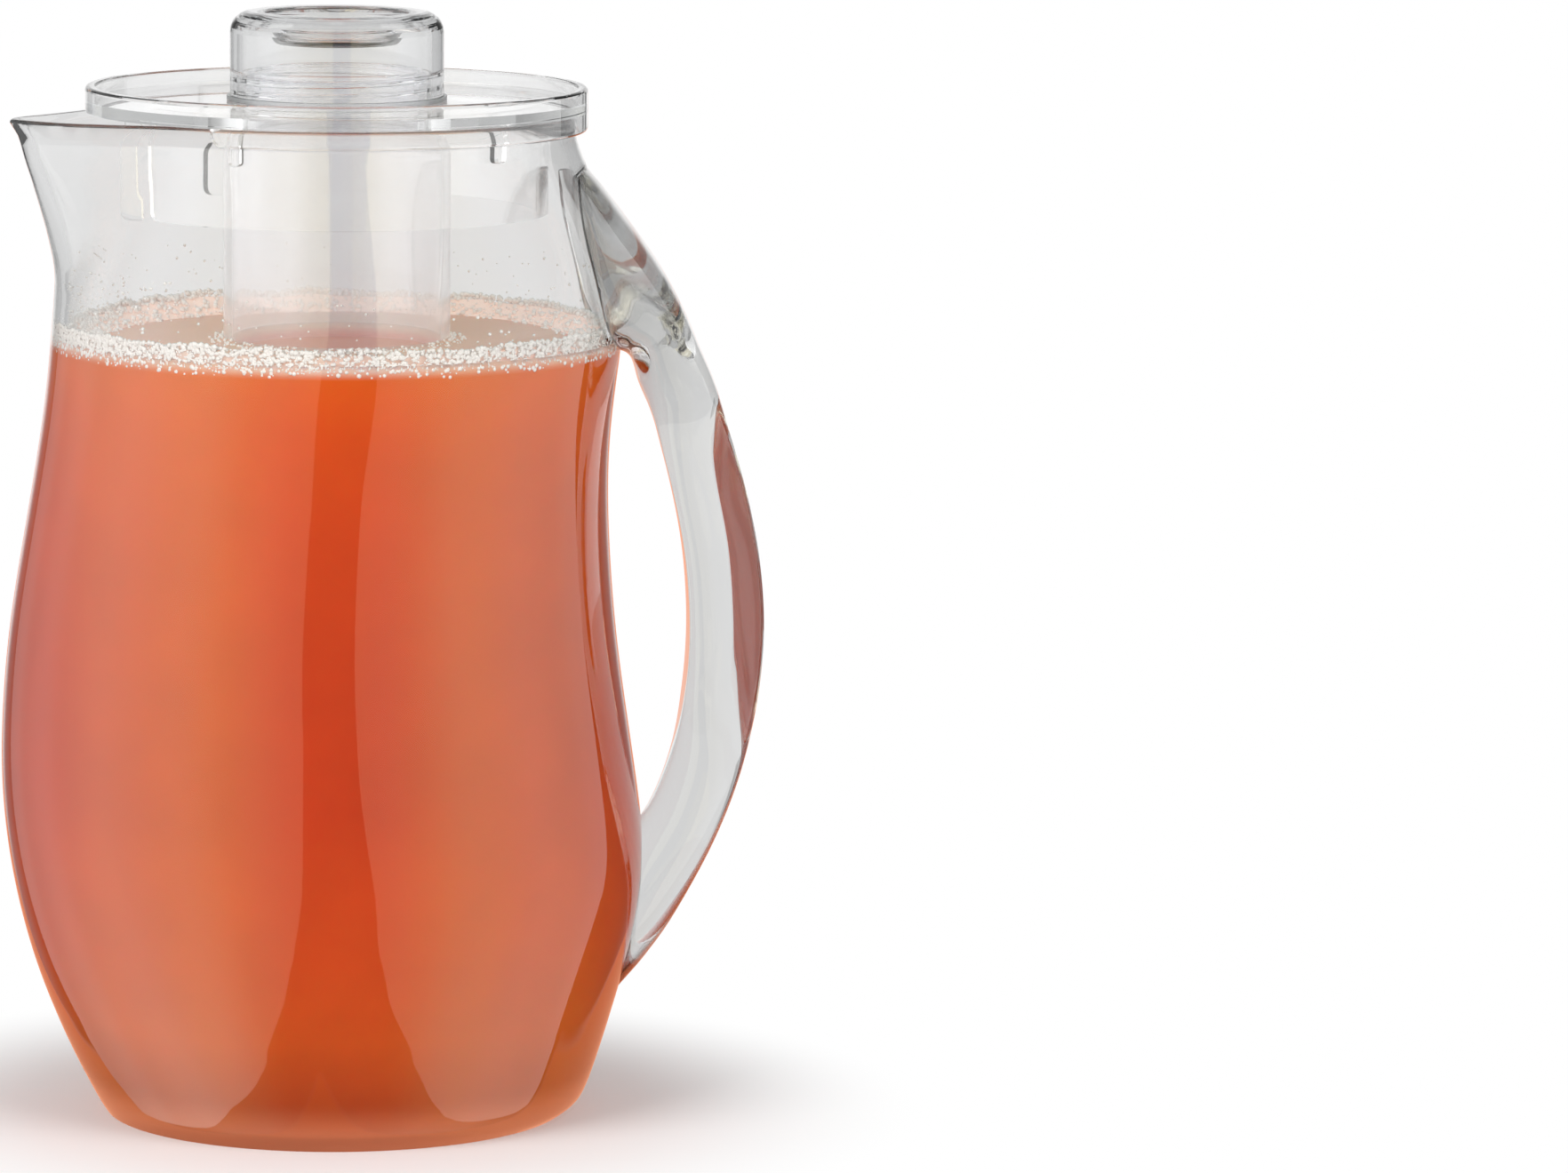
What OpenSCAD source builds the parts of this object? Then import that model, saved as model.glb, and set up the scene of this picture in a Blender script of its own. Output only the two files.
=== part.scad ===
// Clear pitcher with a removable ice core.
// Origin: centre of the base on the table, under the axis of the rim, lid and core.
// +Z is up, -X is the pouring lip and +X is the handle.

/* [Vessel] */
// Height of the rim above the table
body_h = 252; // [220:1:285]
// Widest diameter of the belly
belly_d = 160; // [148:1:176]
// Outer radius of the round rim
rim_r = 59.2; // [56:0.1:64]
// Thickness of the vessel's wall
wall_t = 3.8; // [3:0.1:4.6]
// Thickness of the floor over the foot's recess
floor_t = 4; // [3:0.1:8]
// Fillet between the floor and the wall inside
floor_fillet = 9; // [4:0.5:14]
// Depth of the recess under the floor
foot_h = 1.2; // [0.6:0.1:2.5]
// Width of the ring that the vessel stands on
foot_w = 9; // [5:0.5:14]
// Depth of the bevel inside the rim
bevel_h = 4.5; // [2:0.1:7]
// How far the bevel thins the wall at the rim
bevel_t = 1.7; // [0.8:0.1:2]
// Rounding of the rim's outer edge
rim_round = 1; // [0.4:0.1:1.3]

/* [Pouring lip] */
// How far the tip of the lip stands out from the round rim
spout_reach = 22; // [14:0.5:28]
// Radius of the tip, seen from above
spout_tip_r = 9; // [7:0.5:14]
// How far the tip dips below the rim
spout_dip = 2; // [0.5:0.1:4]

/* [Handle] */
// How far the handle stands out from the belly's half width
handle_reach = 27.5; // [23:0.5:36]
// Thickness of the bar at mid height
handle_t = 19.2; // [15:0.2:22]
// Width of the bar at mid height
handle_w = 23; // [18:0.5:28]

/* [Lid] */
// Thickness of the lid's plate
plate_t = 2.8; // [2:0.1:4]
// Thickness of the flange round the plate
flange_t = 2.3; // [1.6:0.1:3.2]
// Height of the flange above the plate
flange_up = 3.4; // [2:0.1:6]
// Depth of the outer lip below the plate
lip_drop = 4.6; // [3:0.1:7]
// Rounding of the flange's edges
flange_round = 1; // [0.4:0.1:1.2]
// Radial gap between the outer lip and the rim
lip_gap = 1; // [0.6:0.1:2]
// Depth of the inner skirt below the plate
skirt_drop = 25.4; // [20:0.1:34]
// Thickness of the inner skirt
skirt_t = 2; // [1.4:0.1:3]
// Radial gap between the skirt and the inside of the neck
skirt_gap = 2.8; // [2:0.1:5]
// Depth of the centring ribs below the plate
rib_drop = 10; // [6:0.1:16]
// Width of the centring ribs and the strainer bar
rib_w = 2.8; // [1.6:0.1:4]
// Radial depth of the strainer bar
bar_d = 4; // [3:0.1:6]
// Depth of the strainer bar below the plate
bar_drop = 28.8; // [20:0.1:34]
// Half angle of the pour gap in the skirt
pour_half_angle = 39.6; // [25:0.1:50]
// Half angle of the cut-out in the outer lip
lip_half_angle = 69; // [66:0.5:80]
// How far the lid is turned from facing the pouring lip
lid_turned = -8.5; // [-20:0.5:20]

/* [Ice tube] */
// Outer radius of the tube
tube_r = 28.4; // [26:0.1:32]
// Thickness of the tube's wall
tube_t = 2.2; // [1.6:0.1:3]
// Height of the tube's closed end above the table
tube_bottom = 12; // [8:0.5:40]
// Rounding of the closed end
tube_round = 7; // [3:0.5:12]
// Outer radius of the threaded neck
neck_r = 22.3; // [20:0.1:23.6]
// Thickness of the neck's wall
neck_t = 2; // [1.4:0.1:2.8]
// Height of the neck above the lid's plate
neck_up = 7.5; // [6.5:0.1:9]

/* [Thread] */
// Rise of the thread in one turn
pitch = 3.2; // [2.9:0.1:3.6]
// Turns of thread on the neck and in the knob
turns = 1.5; // [1:0.1:1.6]
// Height of the ridges
ridge_h = 1; // [0.7:0.1:1.1]
// Width of the ridges at their root
ridge_root_w = 1.3; // [0.9:0.1:1.3]
// Width of the ridges at their crest
ridge_crest_w = 0.6; // [0.3:0.1:0.8]
// Clearance between each ridge and the wall that faces it
thread_gap = 0.3; // [0.2:0.05:0.4]

/* [Knob] */
// Height of the knob
knob_h = 20.7; // [17:0.1:26]
// Thickness of the knob's side wall
knob_t = 3; // [2:0.1:4]
// Rounding of the knob's top edge
knob_round = 5; // [3:0.1:6]
// Thickness of the knob's top
knob_top_t = 2.6; // [1.8:0.1:3.2]
// Radius of the dish in the top
dish_r = 18; // [14:0.5:19]
// Depth of the dish
dish_h = 6.2; // [4:0.1:7]
// Thickness of the dish's floor
dish_t = 1.8; // [1.2:0.1:2.5]

/* [Washer] */
// Thickness of the washer under the knob
washer_t = 1; // [0.6:0.1:1.6]
// How far the washer stands out round the knob
washer_proud = 0.8; // [0.2:0.1:2]

/* [Fits] */
// Gap between faces that slide or turn on each other
run_gap = 0.3; // [0.2:0.05:0.4]
// Gap above and below the washer
washer_gap = 0.1; // [0.05:0.05:0.2]

/* [Hidden] */
$fn = 96;

// Overrun of cuts and of joined solids
over = 0.5;
// Place of a rounding's centre as a share of its radius, so that it meets each face at a slight angle
tuck_share = 0.97;

belly_r = belly_d / 2;
neck_in_r = rim_r - wall_t;
plate_z = body_h + run_gap;
plate_top = plate_z + plate_t;
lip_r = rim_r + lip_gap;
lid_r = lip_r + flange_t;
skirt_r = neck_in_r - skirt_gap;
skirt_z = plate_z - skirt_drop;
crest_r = neck_r + ridge_h;
cap_r = crest_r + thread_gap;
knob_r = cap_r + knob_t;
hole_r = crest_r + run_gap;
washer_in_r = hole_r;
washer_z = plate_top + washer_gap;
knob_z = washer_z + washer_t + washer_gap;
knob_top = knob_z + knob_h;
shoulder_z = plate_z - run_gap;
neck_top = plate_top + neck_up;
ridge_z = knob_z + ridge_root_w / 2;

// Belly: [height as a share of the rim's height, left and right reach as shares of the half width]
belly_shares = [
    [0.000, 0.725, 0.722], [0.012, 0.750, 0.774], [0.036, 0.790, 0.806], [0.071, 0.846, 0.842],
    [0.143, 0.940, 0.909], [0.214, 1.001, 0.964], [0.250, 1.024, 0.975], [0.321, 1.049, 0.949],
    [0.375, 1.051, 0.924], [0.482, 1.026, 0.876], [0.589, 0.971, 0.851], [0.643, 0.942, 0.848],
    [0.697, 0.915, 0.857], [0.750, 0.895, 0.881], [0.804, 0.884, 0.904]
];
// Neck: [height share, share of the way out from the rim's radius to the shoulder's reach]
neck_shares = [
    [0.827, 0.975], [0.861, 0.86], [0.893, 0.65], [0.938, 0.305], [0.968, 0.06], [0.984, 0], [1, 0]
];
// Pouring lip: [height share, share of the lip's reach]
spout_shares = [
    [0.810, 0], [0.835, 0.02], [0.857, 0.09], [0.893, 0.29], [0.929, 0.54], [0.964, 0.80], [1, 1]
];

function mix(a, b, s) = a + (b - a) * s;
function clamped(s) = min(1, max(0, s));
function arc(x, z, r, from, to, steps = 4) =
    [for (i = [0:steps]) let (a = mix(from, to, i / steps)) [x + r * cos(a), z + r * sin(a)]];

// Smooth value of column k at height x, through the rows of a table whose first column is the height
function row_at(table, x, i = 0) =
    i >= len(table) - 2 || x < table[i + 1][0] ? i : row_at(table, x, i + 1);
function smooth(table, x, k) =
    let (
        i = row_at(table, x),
        a = table[max(i - 1, 0)],
        b = table[i],
        c = table[i + 1],
        d = table[min(i + 2, len(table) - 1)],
        span = c[0] - b[0],
        u = (x - b[0]) / span,
        m = (c[k] - a[k]) / (c[0] - a[0]) * span,
        n = (d[k] - b[k]) / (d[0] - b[0]) * span
    )
    (2 * u * u * u - 3 * u * u + 1) * b[k] + (u * u * u - 2 * u * u + u) * m
    + (3 * u * u - 2 * u * u * u) * c[k] + (u * u * u - u * u) * n;

last_belly = belly_shares[len(belly_shares) - 1];
// Reach to the left and right of the axis, by height
reach_rows = concat(
    [for (s = belly_shares) [s[0] * body_h, s[1] * belly_r, s[2] * belly_r]],
    [for (s = neck_shares) [
        s[0] * body_h,
        mix(rim_r, last_belly[1] * belly_r, s[1]),
        mix(rim_r, last_belly[2] * belly_r, s[1])
    ]]
);
spout_rows = [for (s = spout_shares) [s[0] * body_h, s[1]]];
spout_z = spout_rows[0][0];

function left_at(z) = smooth(reach_rows, z, 1);
function right_at(z) = smooth(reach_rows, z, 2);
function spout_at(z) = z <= spout_z ? 0 : clamped(smooth(spout_rows, z, 1));
function half_at(z) = (left_at(z) + right_at(z)) / 2;
function centre_at(z) = (right_at(z) - left_at(z)) / 2;

// Distance from the section's centre to its outline, at an angle from the pouring lip.
// The section is a circle with a smaller circle at the lip's tip, joined by their tangents.
function outline_at(z, inset, angle) =
    let (
        s = spout_at(z),
        r = half_at(z) - inset,
        tip = mix(r, spout_tip_r - inset, sqrt(s)),
        c = r + s * spout_reach - tip,
        touch = c <= 0 ? 0 : acos(clamped((r - tip) / c)),
        edge = c <= 0 ? 0 : atan2(tip * sin(touch), c + tip * cos(touch))
    )
    s <= 0 || angle >= touch ? r
    : angle >= edge ? r / cos(touch - angle)
    : c * cos(angle) + sqrt(max(0, tip * tip - pow(c * sin(angle), 2)));

section_points = 64;
// Share by which the points crowd towards the pouring lip
crowding_share = 0.45;
dip_half_angle = 58;
function dip_at(z, angle) =
    let (rise = clamped((z - spout_z) / (body_h - spout_z)), near = clamped(1 - angle / dip_half_angle))
    spout_dip * rise * rise * (3 * near * near - 2 * near * near * near);

// One ring of points round the vessel, inset from its outer surface
function ring(z, inset, shape_z) = [
    for (i = [0:section_points - 1])
        let (
            u = 2 * i / section_points - 1,
            turn = 180 * u - crowding_share * 180 / PI * sin(180 * u),
            r = outline_at(shape_z, inset, abs(turn))
        )
        [centre_at(shape_z) - r * cos(turn), -r * sin(turn), z - dip_at(z, abs(turn))]
];

module loft(rings) {
    n = len(rings[0]);
    last = len(rings) - 1;
    polyhedron(
        points = [for (r = rings) each r],
        faces = concat(
            [[for (j = [0:n - 1]) j]],
            [[for (j = [n - 1:-1:0]) last * n + j]],
            [for (i = [0:last - 1], j = [0:n - 1], half = [0, 1])
                let (a = i * n + j, b = i * n + (j + 1) % n)
                half == 0 ? [a, a + n, b + n] : [a, b + n, b]]
        ),
        convexity = 6
    );
}

wall_rows = 20;
wall_heights = [
    for (i = [1:wall_rows]) mix(0.036, (body_h - bevel_h) / body_h, (i - 1) / (wall_rows - 1)) * body_h
];
base_shares = [0, 0.012];
outer_rings = concat(
    [for (s = base_shares) ring(s * body_h, 0, s * body_h)],
    [for (z = wall_heights) ring(z, 0, z)],
    [ring(body_h - rim_round, 0, body_h)]
);
rim_rings = [
    ring(body_h - rim_round * (1 - sin(45)), rim_round * (1 - cos(45)), body_h),
    ring(body_h, rim_round, body_h),
    ring(body_h, wall_t - bevel_t, body_h),
    ring(body_h - bevel_h / 4, wall_t - bevel_t / 2, body_h)
];
floor_z = foot_h + floor_t;
inner_heights = [
    for (i = [wall_rows - 1:-1:0]) if (wall_heights[i] > floor_z + floor_fillet) wall_heights[i]
];
fillet_steps = 3;
inner_rings = concat(
    [for (z = inner_heights) ring(z, wall_t, z)],
    [for (k = [0:fillet_steps])
        let (
            a = 90 * k / fillet_steps,
            z = floor_z + floor_fillet * (1 - sin(a))
        )
        ring(z, wall_t + floor_fillet * (1 - cos(a)), z)]
);

module vessel_outside() {
    loft(concat(outer_rings, [ring(body_h, rim_round, body_h)]));
}

module jug_body() {
    color([0.88, 0.89, 0.89, 0.35])
        difference() {
            loft(concat(outer_rings, rim_rings, inner_rings));
            translate([centre_at(0), 0, -over])
                cylinder(r1 = half_at(0) - foot_w + over, r2 = half_at(0) - foot_w - foot_h,
                    h = foot_h + over);
        }
}

// Handle stations from the saddle on the neck down to the foot on the belly:
// [outer line's reach share, height share, direction to the inner line, thickness share, width share,
// share of the keystone section]
handle_shares = [
    [0.572, 0.948, 213, 0.30, 1.60, 0], [0.619, 0.925, 243, 1.10, 2.50, 0],
    [0.708, 0.875, 237, 1.34, 2.56, 0], [0.762, 0.840, 234, 1.14, 2.28, 0],
    [0.807, 0.804, 219, 0.92, 1.88, 0], [0.843, 0.768, 211, 0.92, 1.56, 0.05],
    [0.878, 0.733, 202, 0.91, 1.34, 0.2], [0.905, 0.697, 194, 0.91, 1.22, 0.6],
    [0.954, 0.625, 182, 0.96, 1.17, 1], [0.988, 0.554, 178.5, 0.99, 1.15, 1],
    [1.000, 0.482, 177, 1, 1.15, 1], [0.986, 0.411, 172, 0.99, 1.12, 0.75],
    [0.948, 0.339, 161, 0.97, 1.05, 0.2], [0.884, 0.268, 149, 0.985, 1, 0],
    [0.794, 0.196, 137, 1.09, 1, 0], [0.726, 0.154, 141, 0.94, 0.92, 0],
    [0.665, 0.123, 146, 0.47, 0.66, 0]
];
handle_rows = [for (i = [0:len(handle_shares) - 1]) concat([i], handle_shares[i])];
handle_span = belly_r + handle_reach;
handle_rings_count = 30;
// Half of the keystone section where the hand holds: [depth share from the outer edge, half width share]
keystone_shares = [
    [0, 0], [0.05, 0.19], [0.16, 0.35], [0.30, 0.54], [0.45, 0.72], [0.60, 0.885], [0.72, 0.985],
    [0.87, 1.02], [0.97, 0.96], [1, 0.84], [1, 0]
];
keystone_last = len(keystone_shares) - 1;
// Squareness of the oval section elsewhere: 1 is an ellipse and smaller is squarer
section_power = 0.8;

function rounded(v) = sign(v) * pow(abs(v), section_power);
function oval(k) =
    let (a = 180 * k / keystone_last)
    [(1 - rounded(cos(a))) / 2, rounded(sin(a))];
function handle_section(k, key_share) =
    oval(k) * (1 - key_share) + keystone_shares[k] * key_share;
function handle_ring(s) =
    let (
        x = smooth(handle_rows, s, 1) * handle_span,
        z = smooth(handle_rows, s, 2) * body_h,
        way = smooth(handle_rows, s, 3),
        thick = smooth(handle_rows, s, 4) * handle_t,
        side = smooth(handle_rows, s, 5) * handle_w / 2,
        key_share = smooth(handle_rows, s, 6)
    )
    [for (j = [0:2 * keystone_last - 1])
        let (
            k = j <= keystone_last ? j : 2 * keystone_last - j,
            p = handle_section(k, key_share),
            along = thick * p[0]
        )
        [x + along * cos(way), (j <= keystone_last ? side : -side) * p[1], z + along * sin(way)]];

module handle() {
    color([0.86, 0.88, 0.88, 0.35])
        difference() {
            loft([for (i = [0:handle_rings_count])
                handle_ring((len(handle_shares) - 1) * i / handle_rings_count)]);
            vessel_outside();
        }
}

// An upright bar on a radius, with a round lower end
module blade(from_r, to_r, w, z, top) {
    translate([from_r, -w / 2, z + w / 2])
        cube([to_r - from_r, w, top - z - w / 2]);
    translate([from_r, 0, z + w / 2])
        rotate([0, 90, 0])
            cylinder(r = w / 2, h = to_r - from_r);
}

// The cuts that round the two lower corners of a wall beside the gap that faces the pouring lip
module corner_cuts(from_r, to_r, half_angle, z, corner_r) {
    deep = to_r - from_r + 2 * over;
    for (side = [-1, 1])
        rotate([0, 0, 180 + side * half_angle])
            difference() {
                translate([from_r - over, side > 0 ? -over : -corner_r, z - over])
                    cube([deep, corner_r + over, corner_r + over]);
                translate([from_r - 2 * over, side * corner_r * tuck_share, z + corner_r * tuck_share])
                    rotate([0, 90, 0])
                        cylinder(r = corner_r, h = deep + 2 * over);
            }
}

module lid() {
    top = plate_top + flange_up;
    foot = plate_z - lip_drop;
    lip_corner_share = 0.9;
    skirt_corner_share = 1.5;
    places = 5;
    color([0.90, 0.92, 0.93, 0.35])
        rotate([0, 0, lid_turned]) {
            difference() {
                rotate_extrude()
                    polygon(concat(
                        [[hole_r, plate_z], [lip_r, plate_z], [lip_r, foot]],
                        arc(lid_r - flange_round, foot + flange_round, flange_round, -90, 0),
                        arc(lid_r - flange_round, top - flange_round, flange_round, 0, 90),
                        [[lip_r, top], [lip_r, plate_top], [hole_r, plate_top]]
                    ));
                rotate([0, 0, 180 - lip_half_angle])
                    rotate_extrude(angle = 2 * lip_half_angle)
                        translate([lip_r - over, foot - over])
                            square([flange_t + 2 * over, lip_drop + over]);
                corner_cuts(lip_r, lid_r, lip_half_angle, foot, lip_drop * lip_corner_share);
            }
            difference() {
                rotate([0, 0, 180 + pour_half_angle])
                    rotate_extrude(angle = 360 - 2 * pour_half_angle)
                        translate([skirt_r - skirt_t, skirt_z])
                            square([skirt_t, skirt_drop + over]);
                corner_cuts(skirt_r - skirt_t, skirt_r, pour_half_angle, skirt_z,
                    skirt_t * skirt_corner_share);
            }
            rotate([0, 0, 180])
                blade(skirt_r - bar_d + skirt_gap / 4, skirt_r + skirt_gap / 4, rib_w,
                    plate_z - bar_drop, plate_z + over);
            for (k = [1:places - 1])
                rotate([0, 0, 180 + 360 * k / places])
                    blade(skirt_r - skirt_t / 2, neck_in_r - run_gap, rib_w, plate_z - rib_drop,
                        plate_z + over);
        }
}

// One helical ridge, from its root radius to its crest radius, thinned out at both ends
module ridge(root_r, edge_r, z, first_angle) {
    steps = round(turns * 28);
    run_out_share = 0.12;
    loft([for (k = [0:steps])
        let (
            s = k / steps,
            a = first_angle + 360 * turns * s,
            full = clamped(min(s, 1 - s) / run_out_share),
            r = mix(mix(root_r, edge_r, 0.45), edge_r, full),
            y = z + pitch * turns * s,
            in = min(root_r, r),
            out = max(root_r, r),
            in_w = root_r < edge_r ? ridge_root_w : ridge_crest_w,
            out_w = root_r < edge_r ? ridge_crest_w : ridge_root_w
        )
        [for (p = [[in, -in_w / 2], [in, in_w / 2], [out, out_w / 2], [out, -out_w / 2]])
            [p[0] * cos(a), p[0] * sin(a), y + p[1]]]
    ]);
}

module ice_tube() {
    color([0.93, 0.92, 0.91, 0.5]) {
        rotate_extrude()
            polygon(concat(
                [[0, tube_bottom]],
                arc(tube_r - tube_round, tube_bottom + tube_round, tube_round, -90, 0, 6),
                arc(tube_r - tube_t / 2, shoulder_z - tube_t / 2, tube_t / 2, 0, 90),
                [[neck_r, shoulder_z]],
                arc(neck_r - neck_t / 2, neck_top - neck_t / 2, neck_t / 2, 0, 180),
                [[neck_r - neck_t, shoulder_z - tube_t], [tube_r - tube_t, shoulder_z - tube_t]],
                arc(tube_r - tube_round, tube_bottom + tube_round, tube_round - tube_t, 0, -90, 6),
                [[0, tube_bottom + tube_t]]
            ));
        ridge(neck_r - neck_t / 4, crest_r, ridge_z, 0);
    }
}

module knob_seal() {
    color([0.90, 0.90, 0.89, 0.6])
        translate([0, 0, washer_z])
            difference() {
                cylinder(r = knob_r + washer_proud, h = washer_t);
                translate([0, 0, -over])
                    cylinder(r = washer_in_r, h = washer_t + 2 * over);
            }
}

module knob() {
    dish_floor = knob_top - dish_h;
    ceiling = knob_top - knob_top_t;
    lean = dish_t;
    dish_round = dish_t;
    color([0.86, 0.89, 0.90, 0.35]) {
        rotate_extrude()
            polygon(concat(
                [[0, dish_floor - dish_t], [dish_r - lean - dish_round, dish_floor - dish_t]],
                arc(dish_r - lean - dish_round, dish_floor, dish_t, -90, -20),
                [[dish_r + dish_t, ceiling], [cap_r - dish_round / 2, ceiling],
                    [cap_r, ceiling - dish_round / 2], [cap_r, knob_z], [knob_r, knob_z]],
                arc(knob_r - knob_round, knob_top - knob_round, knob_round, 0, 90, 6),
                arc(dish_r + dish_round / 2, knob_top - dish_round / 2, dish_round / 2, 90, 180),
                arc(dish_r - lean - dish_round, dish_floor + dish_round, dish_round, -20, -90),
                [[0, dish_floor]]
            ));
        ridge(cap_r + knob_t / 6, cap_r - ridge_h, ridge_z, 180);
    }
}

jug_body();
handle();
lid();
ice_tube();
knob_seal();
knob();
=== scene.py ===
import math
import random

import bmesh
import bpy
import numpy as np
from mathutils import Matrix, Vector


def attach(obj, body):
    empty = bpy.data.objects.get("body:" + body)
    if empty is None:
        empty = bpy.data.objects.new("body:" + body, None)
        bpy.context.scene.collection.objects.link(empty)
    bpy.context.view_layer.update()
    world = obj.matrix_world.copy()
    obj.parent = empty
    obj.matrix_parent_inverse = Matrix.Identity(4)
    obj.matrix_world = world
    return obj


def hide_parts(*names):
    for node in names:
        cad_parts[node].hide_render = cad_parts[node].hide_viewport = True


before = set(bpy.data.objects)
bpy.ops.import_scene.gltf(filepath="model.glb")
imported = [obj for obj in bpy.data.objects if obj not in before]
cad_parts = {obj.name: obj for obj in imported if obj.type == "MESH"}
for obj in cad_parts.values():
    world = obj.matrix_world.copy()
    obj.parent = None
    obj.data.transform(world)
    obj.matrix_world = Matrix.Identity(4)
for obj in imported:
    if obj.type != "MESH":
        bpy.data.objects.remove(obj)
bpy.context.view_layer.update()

scene = bpy.context.scene


# The vessel: a clear acrylic jug, moulded in one piece and polished. It has a bulging belly, a drawn-out
# pouring lip and a bevel inside its rim, and it stands on a ring round a shallow recess in its base.

MM = 0.001
BODY_H, BELLY_R, RIM_R, WALL, FLOOR = 252.0, 80.0, 59.2, 3.8, 4.0
FOOT_H, FOOT_W, FILLET, BEVEL_H, BEVEL_T, RIM_ROUND = 1.2, 9.0, 9.0, 4.5, 1.7, 1.0
SPOUT_REACH, SPOUT_TIP_R, SPOUT_DIP, DIP_HALF_ANGLE = 22.0, 9.0, 2.0, math.radians(58)

# Height as a share of the rim's, then the reach to the lip side and to the handle side in half widths
BELLY = [
    (0.000, 0.725, 0.722), (0.012, 0.750, 0.774), (0.036, 0.790, 0.806), (0.071, 0.846, 0.842),
    (0.143, 0.940, 0.909), (0.214, 1.001, 0.964), (0.250, 1.024, 0.975), (0.321, 1.049, 0.949),
    (0.375, 1.051, 0.924), (0.482, 1.026, 0.876), (0.589, 0.971, 0.851), (0.643, 0.942, 0.848),
    (0.697, 0.915, 0.857), (0.750, 0.895, 0.881), (0.804, 0.884, 0.904),
]
# Height, then how far the outline still is from the round rim, and how far the lip is drawn out
NECK = [(0.827, 0.975), (0.861, 0.86), (0.893, 0.65), (0.938, 0.305), (0.968, 0.06), (0.984, 0), (1, 0)]
SPOUT = [(0.810, 0), (0.835, 0.02), (0.857, 0.09), (0.893, 0.29), (0.929, 0.54), (0.964, 0.80), (1, 1)]


def smooth_rows(rows, x):
    """All columns of a table at x, on a smooth curve through its rows."""
    i = 0
    while i < len(rows) - 2 and x >= rows[i + 1][0]:
        i += 1
    a, b, c, d = (np.array(rows[min(max(k, 0), len(rows) - 1)], float) for k in (i - 1, i, i + 1, i + 2))
    span = c[0] - b[0]
    u = (x - b[0]) / span
    m, n = (c - a) / (c[0] - a[0]) * span, (d - b) / (d[0] - b[0]) * span
    return ((2 * u**3 - 3 * u**2 + 1) * b + (u**3 - 2 * u**2 + u) * m
            + (3 * u**2 - 2 * u**3) * c + (u**3 - u**2) * n)


LAST = BELLY[-1]
REACH = [(s * BODY_H, a * BELLY_R, b * BELLY_R) for s, a, b in BELLY]
REACH += [(s * BODY_H, RIM_R + (LAST[1] * BELLY_R - RIM_R) * t, RIM_R + (LAST[2] * BELLY_R - RIM_R) * t)
          for s, t in NECK]
SPOUT_ROWS = [(s * BODY_H, t) for s, t in SPOUT]
SPOUT_Z = SPOUT_ROWS[0][0]

# Polishing evens out the wall over this much height, and over less towards the crisp foot and rim
EVEN_LEAST, EVEN_MOST, EVEN_FROM_FOOT, EVEN_FROM_RIM, EVEN_TAIL = 0.5, 9.0, 0.32, 0.30, 2.5
STEP, STEP_SLACK = 0.5, 0.3
STEPS = np.arange(0, BODY_H + STEP, STEP)
ROUGH = np.array([smooth_rows(REACH, z)[1:] for z in STEPS])


def polished(z):
    """Reach to both sides at a height, with the small steps between the rows of BELLY evened out."""
    width = min(EVEN_MOST, EVEN_LEAST + EVEN_FROM_FOOT * z, EVEN_LEAST + EVEN_FROM_RIM * (BODY_H - z))
    near = min(z, BODY_H - z, EVEN_TAIL * width)
    weight = np.where(np.abs(STEPS - z) <= near + STEP_SLACK, np.exp(-((STEPS - z) / width) ** 2 / 2), 0)
    return weight @ ROUGH / weight.sum()


def section(z):
    """Half width, centre and lip share of the vessel's outer section at a height."""
    left, right = polished(z)
    share = 0.0 if z <= SPOUT_Z else float(np.clip(smooth_rows(SPOUT_ROWS, z)[1], 0, 1))
    return (left + right) / 2, (right - left) / 2, share


# Share by which a ring's points crowd towards the pouring lip
CROWDING = 0.45


def wall_ring(z, inset, shape_z=None, points=256):
    """A ring round the vessel, inset from its outer surface. Point 0 lies on the handle's side."""
    r0, centre, share = section(z if shape_z is None else shape_z)
    r = r0 - inset
    tip = r + (SPOUT_TIP_R - inset - r) * math.sqrt(share)
    c = r + share * SPOUT_REACH - tip
    u = 2 * np.arange(points) / points - 1
    turn = math.pi * u - CROWDING * np.sin(math.pi * u)
    angle = np.abs(turn)
    out = np.full(points, r)
    if c > 0:
        touch = math.acos(np.clip((r - tip) / c, 0, 1))
        edge = math.atan2(tip * math.sin(touch), c + tip * math.cos(touch))
        out = np.where(angle < touch, r / np.cos(touch - np.minimum(angle, touch)), out)
        bow = c * np.cos(angle) + np.sqrt(np.maximum(0, tip**2 - (c * np.sin(angle)) ** 2))
        out = np.where(angle < edge, bow, out)
    rise = np.clip((z - SPOUT_Z) / (BODY_H - SPOUT_Z), 0, 1)
    near = np.clip(1 - angle / DIP_HALF_ANGLE, 0, 1)
    dip = SPOUT_DIP * rise**2 * (3 * near**2 - 2 * near**3)
    return np.stack([centre - out * np.cos(turn), -out * np.sin(turn), z - dip], 1)


def loft_mesh(name, rings, loop=False):
    """A mesh through rings of equal length, in millimetres: capped, or with loop closed on itself."""
    n, count = len(rings[0]), len(rings)
    faces = []
    for i in range(count if loop else count - 1):
        low, high = i * n, (i + 1) % count * n
        faces += [(low + j, low + (j + 1) % n, high + (j + 1) % n, high + j) for j in range(n)]
    if not loop:
        faces.append(tuple(range(n - 1, -1, -1)))
        faces.append(tuple((count - 1) * n + j for j in range(n)))
    mesh = bpy.data.meshes.new(name)
    mesh.from_pydata((np.concatenate(rings) * MM).tolist(), [], faces)
    mesh.validate()
    return finish_mesh(mesh)


# Faces that meet at more than this angle show a crisp edge
CREASE = math.radians(35)


def finish_mesh(mesh):
    """Normals outwards, smooth shading, and a crease at the edges."""
    work = bmesh.new()
    work.from_mesh(mesh)
    bmesh.ops.recalc_face_normals(work, faces=work.faces)
    work.to_mesh(mesh)
    work.free()
    mesh.shade_smooth()
    mesh.set_sharp_from_angle(angle=CREASE)
    return mesh


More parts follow.
